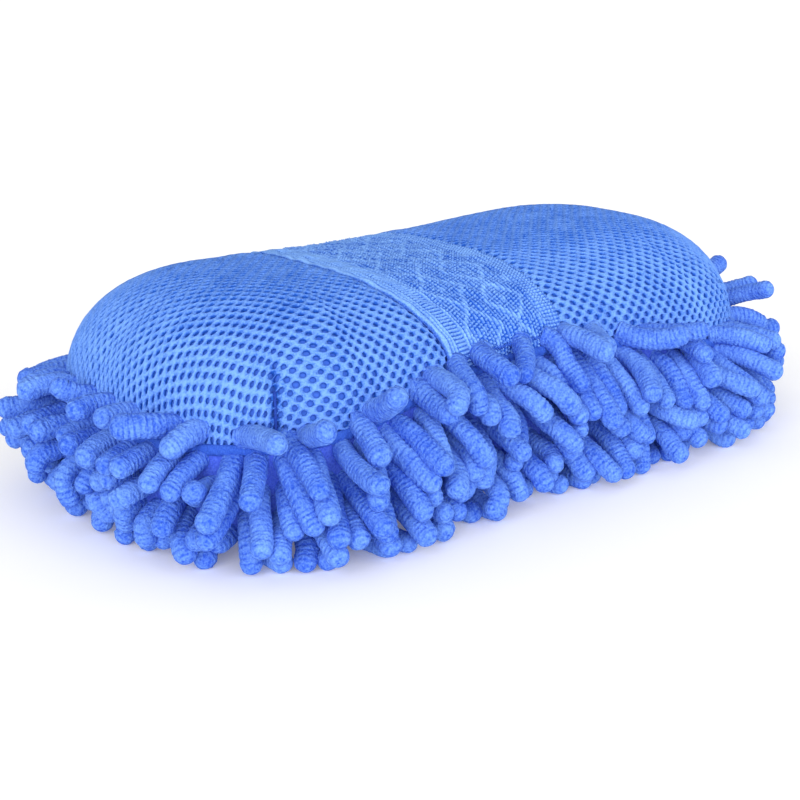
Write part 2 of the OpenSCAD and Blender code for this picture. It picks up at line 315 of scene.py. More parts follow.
def nodes_of(name):
    """A new material with its Principled shader and the maker of further nodes."""
    material = bpy.data.materials.new(name)
    material.use_nodes = True
    tree = material.node_tree
    shader = tree.nodes["Principled BSDF"]

    def add(kind, inputs=(), **settings):
        node = tree.nodes.new(kind)
        for key, value in settings.items():
            setattr(node, key, value)
        for key, value in dict(inputs).items():
            if isinstance(value, bpy.types.NodeSocket):
                tree.links.new(value, node.inputs[key])
            else:
                node.inputs[key].default_value = value
        return node

    return material, tree, shader, add


def ramp(add, factor, stops):
    node = add("ShaderNodeValToRGB", {"Fac": factor})
    elements = node.color_ramp.elements
    while len(elements) < len(stops):
        elements.new(0.5)
    for element, (place, colour) in zip(elements, stops):
        element.position = place
        element.color = (*colour, 1)
    return node.outputs["Color"]


def fabric(name, low, high, grain, depth, speckle=1.5, relief=None, rough=0.9):
    """Cloth with a fibre grain of a given size and depth, its colour running from low to high with
    the grain, whose pits are drawn darker as painted shade as well as random fibre tone, with wide
    patches, and with the named attribute, which holds each point's painted shade and random tone."""
    material, tree, shader, add = nodes_of(name)
    place = add("ShaderNodeTexCoord").outputs["Object"]
    fibre = add("ShaderNodeTexNoise", {"Vector": place, "Scale": 1 / grain, "Detail": 2.0})
    patch = add("ShaderNodeTexNoise", {"Vector": place, "Scale": 1 / (9 * MM), "Detail": 2.0})
    # The fibre grain's colour follows its bump's height, so its pits get painted shade as well as
    # random fibre tone
    parts = [(fibre.outputs["Fac"], speckle), (patch.outputs["Fac"], 0.6)]
    # The named attribute paints shade into the colour, darker in hollows, grooves and creases,
    # with some random tone as well
    if relief:
        parts.append((add("ShaderNodeAttribute", attribute_name=relief).outputs["Fac"], 0.95))
    total = 0.5 - 0.5 * sum(weight for _, weight in parts)
    for source, weight in parts:
        total = add("ShaderNodeMath", {0: source, 1: weight, 2: total}, operation="MULTIPLY_ADD")
        total = total.outputs[0]
    tree.links.new(ramp(add, total, [(0.0, low), (1.0, high)]), shader.inputs["Base Color"])
    rise = add(
        "ShaderNodeBump", {"Height": fibre.outputs["Fac"], "Strength": 1.0, "Distance": depth}
    )
    tree.links.new(rise.outputs["Normal"], shader.inputs["Normal"])
    shader.inputs["Roughness"].default_value = rough
    shader.inputs["Specular IOR Level"].default_value = 0.1
    shader.inputs["Sheen Weight"].default_value = 0.03
    shader.inputs["Sheen Roughness"].default_value = 0.5
    shader.inputs["Sheen Tint"].default_value = (0.5, 0.7, 1.0, 1)
    return material


mesh_cloth = fabric(
    "air_mesh", (0.018, 0.105, 0.51), (0.174, 0.365, 0.90), 0.5 * MM, 0.3 * MM, 1.5, "lift"
)
foam_cloth = fabric(
    "foam_backing", (0.04, 0.125, 0.56), (0.08, 0.21, 0.74), 0.7 * MM, 0.1 * MM, 0.8
)
ground_cloth = fabric("ground_cloth", (0.04, 0.09, 0.60), (0.10, 0.19, 0.80), 0.6 * MM, 0.4 * MM)
strap_cloth = fabric(
    "elastic", (0.01, 0.085, 0.50), (0.255, 0.49, 0.95), 0.5 * MM, 0.2 * MM, 1.2, "lift"
)
thread = fabric("thread", (0.02, 0.075, 0.46), (0.06, 0.165, 0.68), 0.4 * MM, 0.3 * MM)
# The dart's thread is drawn much darker than the hem's: painted shade of the crease it sits in
dart_thread_in_painted_shade = fabric("dart_thread_in_painted_shade", (0.01, 0.035, 0.24), (0.03, 0.08, 0.42), 0.4 * MM, 0.1 * MM)
chenille = fabric(
    "chenille", (0.03, 0.10, 0.60), (0.173, 0.355, 0.87), 0.62 * MM, 0.5 * MM, 1.5, "lift", 0.95
)

# ---- Air-mesh cover ----

# The holes' cells lie in staggered rows. A cell is a flattened hexagon whose pointed corners are
# twice as far up as its side corners.
CELL_W, ROW_STEP = 3.7 * MM, 1.8 * MM
HOLE_R, HOLE_DEPTH = 0.8 * MM, 1.3 * MM
RIM_DROP, RIM_SIDES = 0.35 * MM, 12
# How far the cover goes on down past the seam, behind the hem, and the flat cut's spare there
TURN_IN, CUT_SPARE = 0.9 * MM, 4 * MM
# How light the cloth is painted on the web between the holes, and the painted shade at a hole's
# rim and, darker still, at its bottom
WEB_LIFT, RIM_PAINTED_SHADE, BOTTOM_PAINTED_SHADE = 1.0, 0.5, -0.7


def near_top(left):
    """0 on the cover's sides and 1 on its flat top."""
    return smooth((left - 25 * MM) / (30 * MM))


def build_cover():
    """One sheet with a real hole in each cell of a honeycomb laid out on the flat cut."""
    rows = int((CORE_Y + FLAT_SEAM_R + CUT_SPARE) / ROW_STEP)
    columns = int((CORE_X + FLAT_SEAM_R + CUT_SPARE) / CELL_W) + 1
    j, i = np.meshgrid(np.arange(-rows, rows + 1), np.arange(-columns, columns + 1), indexing="ij")
    u = ((i + 0.5 * (j % 2)) * CELL_W).ravel()
    v = (j * ROW_STEP).ravel()
    kept = cover_at(u, v)[2] > -TURN_IN
    u, v = u[kept], v[kept]

    # The six corners of a cell are shared with its neighbours, so they are numbered by place
    unit_u, unit_v = CELL_W / 2, ROW_STEP / 3
    cu = u[:, None] + unit_u * np.array([1, 0, -1, -1, 0, 1])
    cv = v[:, None] + unit_v * np.array([1, 2, 1, -1, -2, -1])
    keys = np.stack([np.rint(cu / unit_u), np.rint(cv / unit_v)], 2)
    _, first, corner = np.unique(
        keys.reshape(-1, 2).astype(int), axis=0, return_index=True, return_inverse=True
    )
    corner = corner.reshape(-1, 6)
    cu, cv = cu.ravel()[first], cv.ravel()[first]

    _, t, left = cover_at(u, v)
    drawn = past_dart(t) * smooth((50 * MM - left) / (30 * MM))
    on_top = near_top(left)
    size = HOLE_R * (1 - 0.07 * drawn + 0.08 * on_top) * (1 + 0.06 * rng.standard_normal(len(u)))
    shift = 0.06 * MM * rng.standard_normal((2, len(u), 1))
    around = np.linspace(0, 2 * math.pi, RIM_SIDES, endpoint=False)
    ru = u[:, None] + shift[0] + size[:, None] * np.cos(around)
    rv = v[:, None] + shift[1] + size[:, None] * np.sin(around)
    flat_u = np.concatenate([cu, ru.ravel(), ru.ravel()])
    flat_v = np.concatenate([cv, rv.ravel(), rv.ravel()])
    points, t, left = cover_at(flat_u, flat_v)
    n = normals_of(flat_u, flat_v)
    web, rim = len(cu), ru.size
    sunk = np.repeat([0, RIM_DROP, HOLE_DEPTH], [web, rim, rim])
    sunk += 0.04 * MM * rng.standard_normal(len(sunk))
    points = points + n * (pressed(points, t, left) - sunk)[:, None]
    # Painted shade: the holes' rims are drawn darker than the web, and their bottoms darker still
    lift = np.repeat([WEB_LIFT, RIM_PAINTED_SHADE, BOTTOM_PAINTED_SHADE], [web, rim, rim])
    # Random tone, and painted shade along the dart's crease
    lift += 0.1 * rng.standard_normal(len(lift)) - 0.9 * creased(t, left)
    # Painted shade: the flat top is drawn darker than the sides
    lift -= 0.3 * near_top(left)

    # Each side of a cell is joined to the nearest three points of the hole's rim, and the rim to
    # the hole's bottom
    ring = web + np.arange(rim).reshape(-1, RIM_SIDES)
    begin, mid, end = ring[:, 1::2], np.roll(ring, -2, 1)[:, ::2], np.roll(ring, -3, 1)[:, ::2]
    following = np.roll(corner, -1, 1)
    after = np.roll(ring, -1, 1)
    faces = [
        (corner, following, mid), (corner, mid, begin), (following, end, mid),
        (ring, after, after + rim), (ring, after + rim, ring + rim),
    ]
    faces = np.concatenate([np.stack(face, 2).reshape(-1, 3) for face in faces])
    cover = add_mesh("air_mesh_cover", points, faces, mesh_cloth, "mitt", "air_mesh", lift=lift)
    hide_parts("mesh_cover")


# ---- Foam pad and base cloth ----

FOAM_IN = 1.9 * MM
RING_POINTS = 384
RING_PLACES = np.arange(RING_POINTS) * ROUND / RING_POINTS


def seam_ring(inset):
    """Plan points of the wall, inset, anticlockwise from the front's middle."""
    return wall_at(RING_PLACES, CORNER_R - inset)[:2]


def quarter_place(q):
    """Place q round the pad as a place along a quarter seam, the core point and outward angle
    there, and the quarter's signs."""
    part = np.floor(q / QUARTER).astype(int) % 4
    t = q % QUARTER
    t = np.where(part % 2 == 1, QUARTER - t, t)
    cx, cy, turn = round_the_seam(t)
    return t, cx, cy, turn, np.where(part < 2, 1, -1), np.where((part == 0) | (part == 3), -1, 1)


def wall_at(q, reach):
    """Plan point at q round the pad, reach out from its core, with the outward direction."""
    _, cx, cy, turn, sx, sy = quarter_place(q)
    x = sx * (cx + np.sin(turn) * reach)
    y = sy * (cy + np.cos(turn) * reach)
    return x, waisted(y, x), sx * np.sin(turn), sy * np.cos(turn)


def tray_rings(inset):
    """Rings from under the pad's middle out round its lower edge and up to the seam."""
    rings = []
    for run in (1.0, 0.75, 0.5, 0.25, 0.0):
        x, y = seam_ring(LOWER_R + (CORNER_R - LOWER_R - 1 * MM) * run)
        rings.append(np.stack([x, y, np.full_like(x, FLOOR_Z + inset)], 1))
    for a in np.radians(np.arange(15, 91, 15)):
        x, y = seam_ring(inset + (LOWER_R - inset) * (1 - math.sin(a)))
        z = FLOOR_Z + inset + (LOWER_R - inset) * (1 - math.cos(a))
        rings.append(np.stack([x, y, np.full_like(x, z)], 1))
    x, y = seam_ring(inset)
    low = FLOOR_Z + LOWER_R
    for share in (0.25, 0.5, 0.75, 1.0):
        rings.append(np.stack([x, y, low + (seam_at(x) - low) * share], 1))
    return rings


def dome_rings(inset):
    """Rings just under the cover, folds and all, from the seam up to the core."""
    def at(place, share, more=0.0):
        t, cx, cy, turn, sx, sy = quarter_place(place)
        crown = top_at(sx * (cx + np.sin(turn) * CORNER_R), 0) - SEAM_Z
        whole = FLAT_R + angle_at(0 * t, np.clip(crown, CROWNS[0], CROWNS[-1]))[1]
        points, left = surface(cx, cy, turn, whole * (1 - share) + more, sx, sy)
        return points, t, left

    rings, q, step = [], RING_PLACES, 0.1 * MM
    for share in (*np.linspace(0.0, 0.9, 40), 0.96):
        points, t, left = at(q, share)
        n = unit(np.cross(
            at(q + step, share)[0] - at(q - step, share)[0],
            at(q, share, -step)[0] - at(q, share, step)[0],
        ))
        rings.append(points + n * (pressed(points, t, left) - inset)[:, None])
    return rings


def halved(quads):
    return np.concatenate([quads[:, [0, 1, 2]], quads[:, [0, 2, 3]]])


def fan(apex, line):
    return np.stack([np.full(len(line) - 1, apex), line[:-1], line[1:]], 1)


def oval_cap():
    """Triangles that face up and close a ring: zipped between its front and back halves, with a
    fan at each end, where the ring runs straight across."""
    n = RING_POINTS
    half, straight = n // 2, int(CORE_Y / (ROUND / n))
    right = half // 2 + np.arange(-straight, straight + 1)
    left = right + half
    # Ring point q mirrors point half - q across the pad's middle line
    k = np.arange(straight + 1, half - straight - 1)
    back, front = half // 2 + k, (half // 2 - k) % n
    return np.concatenate([
        fan(right[-1] + 1, np.append(right[0] - 1, right)),
        halved(np.stack([back, back + 1, (front - 1) % n, front], 1)),
        fan(left[0] - 1, np.append(left, left[-1] + 1)),
    ])


def lofted(rings, cap_first, cap_last):
    """Triangles through the rings, which go upward, with caps at the first and the last."""
    faces = [halved(grid_faces(len(rings), RING_POINTS, closed=True))]
    if cap_first:
        faces.append(oval_cap()[:, ::-1])
    if cap_last:
        faces.append(oval_cap() + (len(rings) - 1) * RING_POINTS)
    return np.concatenate(rings), np.concatenate(faces)


def build_pad():
    """The foam, just inside its cloth all over, and the ground cloth's open tray."""
    points, faces = lofted(tray_rings(FOAM_IN) + dome_rings(HOLE_DEPTH + 0.1 * MM), True, True)
    foam = add_mesh("foam_pad", points, faces, foam_cloth, "mitt", "foam")
    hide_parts("sponge_core")

    points, faces = lofted(tray_rings(0.0), True, False)
    base = add_mesh("base_cloth_sheet", points, faces, ground_cloth, "mitt", "ground_cloth")
    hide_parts("base_cloth")


# ---- Hem, darts and tacks ----

STITCH_PITCH, RINGS_A_STITCH = 2.4 * MM, 5
DART_R, DART_STITCH_R, TACK_R = 0.45 * MM, 0.14 * MM, 0.25 * MM


def swept(path, normal, across, outline_n, outline_b, closed):
    """Rings of an outline carried along a path, with the outline's own two axes at each point."""
    rings = path[:, None, :] + normal[:, None, :] * outline_n[..., None]
    rings = rings + across[:, None, :] * outline_b[..., None]
    rows, count = rings.shape[:2]
    points = rings.reshape(-1, 3)
    faces = grid_faces(rows, count, closed=True)
    if closed:
        first = np.arange(count)
        following, last = np.roll(first, -1), (rows - 1) * count
        ends = np.stack([last + first, last + following, following, first], 1)
        faces = np.concatenate([faces, ends])
    return points, faces


def build_hem():
    """The overlocked edge: a low roll bound with slanted thread."""
    rows = int(ROUND / STITCH_PITCH) * RINGS_A_STITCH
    q = np.arange(rows) * ROUND / rows
    x, y, nx, ny = wall_at(q, CORNER_R)
    path = np.stack([x, y, seam_at(x)], 1)
    out = np.stack([nx, ny, np.zeros_like(nx)], 1)
    up = np.tile([0.0, 0.0, 1.0], (rows, 1))
    around = np.linspace(0, 2 * math.pi, 12, endpoint=False)
    turn = 2 * math.pi * np.arange(rows)[:, None] / RINGS_A_STITCH
    slant = np.cos(turn + around[None, :] * 1.5)
    bound = 1 + 0.28 * slant
    outline_n = np.cos(around)[None, :] * HEM_OUT * bound
    outline_b = np.sin(around)[None, :] * HEM_H / 2 * (0.94 + 0.06 * bound)
    points, faces = swept(path, out, up, outline_n, outline_b, closed=True)
    hem = add_mesh("hem_roll", points, faces[:, ::-1], thread, "mitt", "stitching")
    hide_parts("hem_seam")


def tube(path, radius, sides=8):
    """A round thread along a path of points, with closed ends."""
    along = unit(np.gradient(path, axis=0))
    side = unit(np.cross(along, [0.31, 0.17, 0.93]))
    other = np.cross(along, side)
    around = np.linspace(0, 2 * math.pi, sides, endpoint=False)
    thin = np.ones(len(path))
    thin[[0, -1]] = 0.35
    n = np.cos(around)[None, :] * radius * thin[:, None]
    b = np.sin(around)[None, :] * radius * thin[:, None]
    points, faces = swept(path, side, other, n, b, closed=False)
    k = np.arange(sides // 2 - 1)
    start = np.stack([sides - 1 - k, sides - 2 - k, k + 1, k], 1)
    end = start[:, ::-1] + (len(path) - 1) * sides
    return points, np.concatenate([faces, start, end])


def joined(parts):
    """Several (points, faces) as one."""
    starts = np.cumsum([0] + [len(points) for points, _ in parts])
    faces = [faces + start for (_, faces), start in zip(parts, starts)]
    return np.concatenate([points for points, _ in parts]), np.concatenate(faces)


def flat_at_dart(up):
    """Flat-cut place of the front-right dart, at a cloth length above the seam."""
    out = FLAT_SEAM_R - up
    low, high = np.zeros_like(up), np.full_like(up, math.pi / 2)
    for _ in range(30):
        turn = (low + high) / 2
        t = cover_at(CORE_X + out * np.sin(turn), -CORE_Y - out * np.cos(turn))[1]
        low, high = np.where(t < DART_AT, turn, low), np.where(t < DART_AT, high, turn)
    return CORE_X + out * np.sin(turn), -CORE_Y - out * np.cos(turn)


def build_darts():
    """A pinched seam up each corner, closed with a row of short stitches."""
    up = np.linspace(1 * MM, DART_RISE, 40)
    u, v = flat_at_dart(up)
    for end, sx in (("left", -1), ("right", 1)):
        for side, sy in (("front", 1), ("back", -1)):
            points, t, left = cover_at(sx * u, sy * v)
            n = normals_of(sx * u, sy * v)
            line = points + n * (pressed(points, t, left) + 0.3 * MM)[:, None]
            parts = [tube(line, DART_R)]
            across = np.cross(unit(np.gradient(line, axis=0)), n)
            for k in range(3, len(up) - 1, 5):
                spread = np.linspace(-1, 1, 7)[:, None]
                arch = spread**2 * 0.7 * MM + 0.25 * MM
                stitch = line[k] + across[k] * spread * 0.9 * MM + n[k] * arch
                parts.append(tube(stitch, DART_STITCH_R, 6))
            name = f"dart_{side}_{end}"
            piece = add_mesh(name + "_seam", *joined(parts), dart_thread_in_painted_shade, "mitt", "stitching")
            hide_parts(name)


# ---- Elastic hand strap ----

STRAP_COLUMNS, STRAP_ROWS, UNDER_STEP = 172, 460, 4
STRAP_T, STRAP_RELIEF, STRAP_END = 0.9 * MM, 0.95 * MM, 1 * MM
# The knit is drawn in units of a 48th of the strap's width: where its field and its right border
# begin, and a lozenge's width; then a lozenge's length in rows, and the rows to a stitch
KNIT_UNITS, FIELD_AT, BORDER_AT, LOZENGE = 48.0, 9.7, 41.4, 15.0
LOZENGE_ROWS, STITCH_ROWS = 64.0, 4
# How strongly each stitch of the knit stands out, and its puckers
UNEVEN = rng.uniform(-0.1, 1.5, (STRAP_ROWS // STITCH_ROWS + 2, STRAP_COLUMNS))
PUCKERS = rng.standard_normal((6, 3))


def strap_path():
    """Plain distance across the pad, crown share and length, along the strap's middle."""
    out, share = shoulder(np.linspace(0, math.pi / 2, 400))
    y = np.concatenate([-(CORE_Y + out), (CORE_Y + out)[::-1]])
    share = np.concatenate([share, share[::-1]])
    x = np.full_like(y, -WAIST_OFF)
    z = seam_at(x) + share * (top_at(x, y) - seam_at(x))
    return y, share, np.concatenate([[0], np.cumsum(np.hypot(np.diff(y), np.diff(z)))])


def strap_relief(i, j):
    """Height of the knit from 0 to 1 at column i and row j: a rolled left edge, a ladder of short
    rungs, a field of cords with raised lozenges, and a border of small square dots."""
    a = i * KNIT_UNITS / STRAP_COLUMNS
    cord_pitch = 5 * KNIT_UNITS / STRAP_COLUMNS
    rolled = np.sqrt(np.clip(1 - ((a - 0.95) / 1.0) ** 2, 0, 1))

    def band(low, high, soft=0.2):
        return smooth((a - low) / soft) * smooth((high - a) / soft)

    def cord(centre, half=0.5):
        return np.sqrt(np.clip(1 - ((a - centre) / half) ** 2, 0, 1))

    beat = np.cos(2 * math.pi * j / STITCH_ROWS)
    across = (a - FIELD_AT) / cord_pitch
    rib = np.abs(np.sin(math.pi * across)) ** 1.2
    offset = np.cos(2 * math.pi * j / STITCH_ROWS + math.pi * (np.floor(across) % 2))
    offset = offset * UNEVEN[j // STITCH_ROWS, np.floor(across).astype(int) + 8]
    cords = sum(cord(c) for c in (2.6, 3.7, 9.1)) * (0.7 + 0.12 * beat)
    rungs = band(4.3, 8.5) * (0.05 + 0.75 * (0.5 + 0.5 * beat) ** 0.8)
    place = (a - FIELD_AT) / LOZENGE
    fx = np.abs(place % 1 - 0.5) * 2
    fy = np.abs((j / LOZENGE_ROWS + 0.5 * (np.floor(place) % 2)) % 1 - 0.5) * 2
    ring = smooth((0.17 - np.abs(fx + fy - 0.95 + 0.06 * np.sin(j / 9.0 + i / 7.0))) / 0.14)
    motif = np.clip(ring + smooth((0.2 - (fx + fy)) / 0.15), 0, 1)
    plain = 0.02 + 0.82 * rib * (0.58 + 0.42 * offset)
    raised = 0.3 + 0.55 * rib * (0.85 + 0.15 * offset)
    field = band(FIELD_AT + 0.1, BORDER_AT) * (plain + (raised - plain) * 0.9 * motif)
    dot = np.abs(np.sin(math.pi * (a - 41.5) / cord_pitch)) ** 0.8
    border = band(BORDER_AT, 47.8) * (0.05 + 0.8 * dot * (0.6 + 0.4 * beat))
    return np.clip(np.where(a < 1.95, rolled * 0.85, cords + rungs + field + border), 0, 1)


def build_strap():
    """The strap as a closed band: the knit on top, a plain underside, and the rims between them.
    Returns the knit's grid of points."""
    plain_y, crown_share, length = strap_path()
    trimmed = np.linspace(STRAP_END, length[-1] - STRAP_END, STRAP_ROWS + 1)
    ys, shares = np.interp(trimmed, length, plain_y), np.interp(trimmed, length, crown_share)

    def sheet_at(step, off):
        """The strap's grid of points, step samples apart, off its bed on the cover."""
        rows, columns = np.arange(0, STRAP_ROWS + 1, step), np.arange(0, STRAP_COLUMNS + 1, step)
        j, i = np.meshgrid(rows, columns, indexing="ij")
        y, share = ys[j], shares[j]
        left = -STRAP_LEFT - STRAP_FLARE * (1 - np.abs(y / HALF_W) ** FLARE_POWER)
        x = left + (STRAP_RIGHT - left) * i / STRAP_COLUMNS
        z = seam_at(x) + share * (top_at(x, y) - seam_at(x))
        points = np.stack([x, waisted(y, x), z], 2)
        n = unit(np.cross(np.gradient(points, axis=1), np.gradient(points, axis=0)))
        return points + n * (off(i, j) - STRAP_BED)[..., None]

    def upper(i, j):
        puckers = [np.sin(i * (1 + 0.3 * a) / 3.6 + j * b / 5.5 + 7 * c) for a, b, c in PUCKERS]
        return STRAP_T + strap_relief(i, j) * STRAP_RELIEF + 0.08 * sum(puckers) * MM

    top = sheet_at(1, upper)
    under = sheet_at(UNDER_STEP, lambda i, j: np.full(i.shape, 0.12 * MM))
    start = top.shape[0] * top.shape[1]
    quads = np.concatenate([
        grid_faces(*top.shape[:2]),
        grid_faces(*under.shape[:2], start=start)[:, ::-1],
    ])
    rim = stitched_rims(grid_rim(*top.shape[:2]), start + grid_rim(*under.shape[:2]), UNDER_STEP)
    faces = np.concatenate([halved(quads), rim])
    points = np.concatenate([top.reshape(-1, 3), under.reshape(-1, 3)])
    j, i = np.meshgrid(np.arange(STRAP_ROWS + 1), np.arange(STRAP_COLUMNS + 1), indexing="ij")
    # Painted shade: the knit's grooves are drawn darker and its raised stitches lighter; the
    # underside gets one even tone
    lift = np.minimum(strap_relief(i, j).ravel() * 1.4 - 0.15, 0.8)
    lift = np.concatenate([lift, np.full(len(points) - start, 0.3)])
    strap = add_mesh("hand_strap", points, faces, strap_cloth, None, "elastic", lift=lift)
    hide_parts("strap_span", "strap_leg_front", "strap_leg_back")
    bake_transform(strap)
    return top


def grid_rim(rows, columns):
    """Indices round the border of a grid of points."""
    last = (rows - 1) * columns
    return np.concatenate([
        np.arange(columns - 1),
        np.arange(rows - 1) * columns + columns - 1,
        last + np.arange(columns - 1, 0, -1),
        np.arange(rows - 1, 0, -1) * columns,
    ])


def stitched_rims(fine, coarse, step):
    """Triangles between two rims, where the fine one has step points for each coarse one."""
    fine = fine.reshape(-1, step)
    following = np.roll(fine, -1, axis=0)[:, :1]
    fine = np.concatenate([fine, following], 1)
    c, d = coarse, np.roll(coarse, -1)
    half = step // 2
    triangles = [np.stack([c, fine[:, k + 1], fine[:, k]], 1) for k in range(half)]
    triangles.append(np.stack([c, d, fine[:, half]], 1))
    triangles += [np.stack([d, fine[:, k + 1], fine[:, k]], 1) for k in range(half, step)]
    return np.concatenate(triangles)


def build_tacks(top):
    """A zigzag row of thread that sews each end of the strap down."""
    columns = np.arange(4, STRAP_COLUMNS - 3, 2)
    for side, row, step in (("front", 9, 1), ("back", STRAP_ROWS - 9, -1)):
        rows = row + step * 4 * (np.arange(len(columns)) % 2)
        path = top[rows, columns] + np.array([0, -0.2 * MM * step, 0])
        fine = np.linspace(0, len(path) - 1, 3 * len(path))
        path = np.stack([np.interp(fine, np.arange(len(path)), path[:, k]) for k in range(3)], 1)
        piece = add_mesh(f"tack_{side}_stitch", *tube(path, TACK_R), thread, "mitt", "stitching")
        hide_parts(f"tack_{side}")


# ---- Chenille pile ----

NOODLE_R, NODES = 2.9 * MM, 9
# Tiers from the loose one over the hem down to the ground: the number of noodles in each, their
# lengths, their slopes in degrees, and how many millimetres out they may go
TIER_COUNT = [58, 82, 80, 74, 68]
TIER_LENGTH = np.array([21, 25, 24, 21.5, 17]) * MM
TIER_SLOPE = np.array([-8, -32, -42, -46, -34])
TIER_REACH = np.array([15, 16.5, 15.5, 14, 13])
# How much higher they point and how much less they reach at the two ends
END_RISE = np.array([46, 36, 17, 0, 0])
END_LESS = np.array([0, 4, 9, 12, 13.5])
LEFT_SHORTER, RIGHT_SHORTER = 0.32, 0.14
# Root heights: the loose tier's and the first full one's off the seam, and the last one's off the
# pad's underside
HEM_LEVEL, TOP_LEVEL, LOW_LEVEL = 2 * MM, -2.2 * MM, 2.5 * MM
# How far inside the wall the noodles are sewn on, and how far over the hem they may rise
ROOT_IN, PILE_TOP = 3 * MM, 13 * MM
# Settling: steps and passes in each, the fall in a step, the share of the last step's movement
# that is kept, the limit on that, and the noodles' stiffness and natural curl
SETTLE_STEPS, PASSES = 90, 3
FALL, KEPT, MOST_MOVED = 0.15 * MM, 0.8, 0.8 * MM
STIFFNESS, CURL = 0.55, 0.05
# Contact, in noodle radii: the least gap between two middle lines, the gap within which they are
# watched, and the least gap to the pad. Then the steps between searches for pairs to watch.
APART, NEARBY, OFF_PAD = 1.9, 2.9, 0.9
SEARCH_EVERY = 6


def pad_reach(z, x):
    """How far out of the core the pad's own surface is, at height z."""
    crown = top_at(x, 0 * x) - seam_at(x)
    f = np.clip((z - seam_at(x)) / crown, 0, 0.97)
    dome = CORNER_R - SHOULDER_R * (1 - (1 - f**SHOULDER_POWER) ** (1 / SHOULDER_POWER))
    sunk = np.clip((FLOOR_Z + LOWER_R - z) / LOWER_R, 0, 1)
    return dome - LOWER_R * (1 - np.sqrt(1 - sunk**2))


def from_core(points):
    """Distance from the pad's core in plan, and the outward direction."""
    x = points[..., 0]
    y = points[..., 1] / (1 - WAIST_IN * pull(x))
    ex = x - np.clip(x, -CORE_X, CORE_X)
    ey = y - np.clip(y, -CORE_Y, CORE_Y)
    out = np.maximum(np.hypot(ex, ey), 1e-9)
    return out, ex / out, ey / out


def start_pile():
    """Place round the pad, tier, root, first direction, length and reach of each noodle."""
    tier = np.repeat(np.arange(len(TIER_COUNT)), TIER_COUNT)
    place = np.concatenate([np.arange(n) for n in TIER_COUNT])
    pitch = ROUND / np.array(TIER_COUNT)[tier]
    q = (place + 0.5 * (tier % 2) + 0.13 * rng.standard_normal(len(tier))) * pitch
    x, y, nx, ny = wall_at(q, CORNER_R)
    corners, waist = 4 * nx**2 * ny**2, ny**4 * pull(x)
    highest, lowest = seam_at(x) + TOP_LEVEL, FLOOR_Z + LOW_LEVEL
    over = tier == 0
    z = highest + (lowest - highest) * (tier - 1) / (len(TIER_COUNT) - 2)
    z = np.where(over, seam_at(x) + HEM_LEVEL * (1 + waist + 2 * nx**4), z)
    # Most of the noodles over the hem lie along it, one way or the other
    swing = 17 * rng.standard_normal(len(tier))
    along = rng.choice([-1, 1], len(tier)) * rng.uniform(30, 84, len(tier))
    swing = np.where(over, along * (1 - 0.6 * nx**4), swing)
    slope = TIER_SLOPE[tier] + np.where(over, 9, 11) * rng.standard_normal(len(tier))
    slope += END_RISE[tier] * nx**4
    sink = pad_reach(np.minimum(z, seam_at(x)), x) - CORNER_R - np.where(over, 0.4, 1) * ROOT_IN
    root = np.stack([x + nx * sink, y + ny * sink, z], 1)
    swing, slope = np.radians(swing), np.radians(slope)
    flat = np.stack([
        nx * np.cos(swing) - ny * np.sin(swing),
        ny * np.cos(swing) + nx * np.sin(swing),
        np.zeros_like(nx),
    ], 1)
    direction = flat * np.cos(slope)[:, None] + np.array([0, 0, 1.0]) * np.sin(slope)[:, None]
    shorter = np.where(nx < 0, LEFT_SHORTER, RIGHT_SHORTER) * nx**4
    length = TIER_LENGTH[tier] * (1 + 0.08 * rng.standard_normal(len(tier)) - shorter)
    # Farthest that a noodle's middle line goes from the wall: most at the left corners and right
    # of the strap, least at the ends
    left_corner = corners * smooth((20 * MM - x) / (60 * MM))
    reach = TIER_REACH[tier] + (1 + 0.7 * tier) * left_corner - END_LESS[tier] * nx**4
    reach += 4 * bump(x, 28 * MM, 30 * MM) - 4 * bump(x, -26 * MM, 20 * MM)
    reach += rng.standard_normal(len(tier))
    return q % ROUND, tier, root, direction, length, reach * MM


def settle(root, direction, length, reach):
    """Lets the noodles hang, bend and press on each other, the pad and the ground."""
    count = len(root)
    seg = (length - NOODLE_R) / (NODES - 1)
    k = np.arange(NODES)
    at = root[:, None, :] + direction[:, None, :] * (k[None, :, None] * seg[:, None, None])
    at[..., 2] = np.maximum(at[..., 2], NOODLE_R)
    moved = np.zeros_like(at)
    chain = np.repeat(np.arange(count), NODES)
    free = np.minimum(np.tile(k, count) / 3.0, 1.0)
    reach = CORNER_R + reach[:, None]
    curl = seg[:, None, None] * CURL * rng.standard_normal((count, 1, 3))
    for step in range(SETTLE_STEPS):
        before = at.copy()
        at = at + moved * KEPT
        at[:, 2:, 2] -= FALL
        for _ in range(PASSES):
            straight = at[:, 1:-1] * 2 - at[:, :-2]
            at[:, 2:] += STIFFNESS * (straight + curl - at[:, 2:])
            if step % SEARCH_EVERY == 0:
                pairs = close_pairs(at.reshape(-1, 3), chain)
            flat = at.reshape(-1, 3)
            push_apart(flat, pairs, free)
            at = flat.reshape(at.shape)
            clear_pad(at, reach)
            at[:, 1] = at[:, 0] + direction * seg[:, None]
            for i in range(2, NODES):
                at[:, i] = at[:, i - 1] + unit(at[:, i] - at[:, i - 1]) * seg[:, None]
            at[:, 1:, 2] = np.maximum(at[:, 1:, 2], NOODLE_R)
        moved = np.clip(at - before, -MOST_MOVED, MOST_MOVED)
    return at


